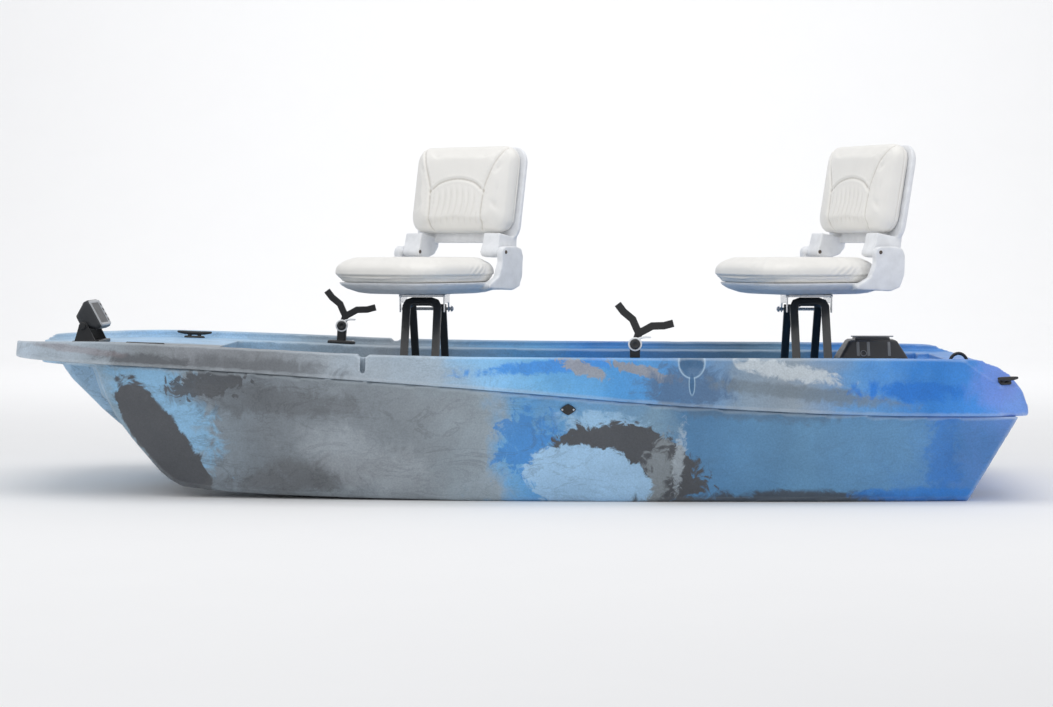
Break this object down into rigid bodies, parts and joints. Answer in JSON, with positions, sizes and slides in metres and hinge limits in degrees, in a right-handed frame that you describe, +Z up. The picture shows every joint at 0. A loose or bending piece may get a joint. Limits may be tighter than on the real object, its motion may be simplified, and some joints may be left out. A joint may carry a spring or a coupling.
{
  "type": "small electric fishing boat",
  "caption": "Small two-seat electric fishing boat: moulded tri-hull with tunnels, deck rim, swivelling seats on stands, rod rests, sounder, cleats, battery box and thrusters.",
  "frame": {"origin": "middle of the boat's outer box, on the floor", "axes": "+X towards the stern, -X towards the bow, +Y towards starboard, +Z up"},
  "size_m": [3.05, 1.24, 1.0734],
  "materials": {
    "hull_polyethylene": "moulded, faintly pebbled",
    "deck_polyethylene": "moulded, faintly pebbled",
    "seat_vinyl": "satin",
    "seat_plastic": "satin",
    "black_steel": "satin powder coat",
    "zinc_steel": "zinc plated",
    "black_plastic": "moulded",
    "grey_plastic": "moulded",
    "rubber": "matt"
  },
  "bodies": {
    "boat": {"hull_tub": "hull_polyethylene", "deck_rim": "deck_polyethylene", "port_side_plug": "black_plastic", "starboard_side_plug": "black_plastic", "bow_cleat_port": "black_plastic", "bow_cleat_starboard": "black_plastic", "stern_cleat_port": "black_plastic", "stern_cleat_starboard": "black_plastic", "stern_handle": "rubber", "battery_box": "black_plastic", "front_stand_frame_port": "black_steel", "front_stand_frame_starboard": "black_steel", "front_stand_head": "zinc_steel", "rear_stand_frame_port": "black_steel", "rear_stand_frame_starboard": "black_steel", "rear_stand_head": "zinc_steel", "front_rod_rest_post": "black_plastic", "rear_rod_rest_post": "black_plastic", "sounder_bracket": "black_plastic", "front_pedal_base": "black_plastic", "rear_pedal_base": "black_plastic"},
    "front_seat": {"front_seat_shell": "seat_plastic", "front_seat_cushion": "seat_vinyl"},
    "front_backrest": {"front_seat_back": "seat_plastic", "front_back_cushion": "seat_vinyl"},
    "rear_seat": {"rear_seat_shell": "seat_plastic", "rear_seat_cushion": "seat_vinyl"},
    "rear_backrest": {"rear_seat_back": "seat_plastic", "rear_back_cushion": "seat_vinyl"},
    "front_rod_rest": {"front_rod_rest_head": "black_plastic"},
    "rear_rod_rest": {"rear_rod_rest_head": "black_plastic"},
    "sounder": {"sounder_unit": "grey_plastic"},
    "battery_lid": {"battery_box_lid": "black_plastic"},
    "port_drive": {"port_thruster": "black_plastic"},
    "starboard_drive": {"starboard_thruster": "black_plastic"},
    "port_prop": {"port_propeller": "black_plastic"},
    "starboard_prop": {"starboard_propeller": "black_plastic"},
    "front_pedal": {"front_foot_pedal": "black_plastic"},
    "rear_pedal": {"rear_foot_pedal": "black_plastic"}
  },
  "joints": [
    {"name": "front_seat_swivel", "type": "hinge", "parent": "boat", "child": "front_seat", "pos_m": [-0.283, 0, 0.6], "axis": [0, 0, 1], "continuous": true},
    {"name": "front_backrest_fold", "type": "hinge", "parent": "front_seat", "child": "front_backrest", "pos_m": [-0.20844, 0.10649, 0.73], "axis": [0.8192, -0.5736, 0], "range_deg": [0, 98]},
    {"name": "rear_seat_swivel", "type": "hinge", "parent": "boat", "child": "rear_seat", "pos_m": [0.914, 0, 0.6], "axis": [0, 0, 1], "continuous": true},
    {"name": "rear_backrest_fold", "type": "hinge", "parent": "rear_seat", "child": "rear_backrest", "pos_m": [1.02983, 0.05902, 0.73], "axis": [0.454, -0.891, 0], "range_deg": [0, 98]},
    {"name": "front_rod_rest_tilt", "type": "hinge", "parent": "boat", "child": "front_rod_rest", "pos_m": [-0.59691, 0.47971, 0.48056], "axis": [0, 1, 0], "range_deg": [-60, 45]},
    {"name": "rear_rod_rest_tilt", "type": "hinge", "parent": "boat", "child": "rear_rod_rest", "pos_m": [0.37116, -0.50126, 0.46332], "axis": [0, 1, 0], "range_deg": [-60, 45]},
    {"name": "sounder_tilt", "type": "hinge", "parent": "boat", "child": "sounder", "pos_m": [-1.35001, 0, 0.49883], "axis": [0, 1, 0], "range_deg": [-20, 25]},
    {"name": "battery_lid", "type": "hinge", "parent": "boat", "child": "battery_lid", "pos_m": [1.118, 0.096, 0.3906], "axis": [-1, 0, 0], "range_deg": [0, 95]},
    {"name": "port_steering", "type": "hinge", "parent": "boat", "child": "port_drive", "pos_m": [0.98, -0.255, 0.098], "axis": [0, 0, 1], "range_deg": [-15, 15]},
    {"name": "port_propeller_spin", "type": "hinge", "parent": "port_drive", "child": "port_prop", "pos_m": [1.08, -0.255, 0.098], "axis": [1, 0, 0], "continuous": true},
    {"name": "starboard_steering", "type": "hinge", "parent": "boat", "child": "starboard_drive", "pos_m": [0.98, 0.255, 0.098], "axis": [0, 0, 1], "range_deg": [-15, 15]},
    {"name": "starboard_propeller_spin", "type": "hinge", "parent": "starboard_drive", "child": "starboard_prop", "pos_m": [1.08, 0.255, 0.098], "axis": [1, 0, 0], "continuous": true},
    {"name": "front_pedal_rock", "type": "hinge", "parent": "boat", "child": "front_pedal", "pos_m": [-0.7, -0.09, 0.222], "axis": [0, 1, 0], "range_deg": [-24, 10]},
    {"name": "rear_pedal_rock", "type": "hinge", "parent": "boat", "child": "rear_pedal", "pos_m": [0.44, -0.09, 0.222], "axis": [0, 1, 0], "range_deg": [-24, 10]}
  ]
}
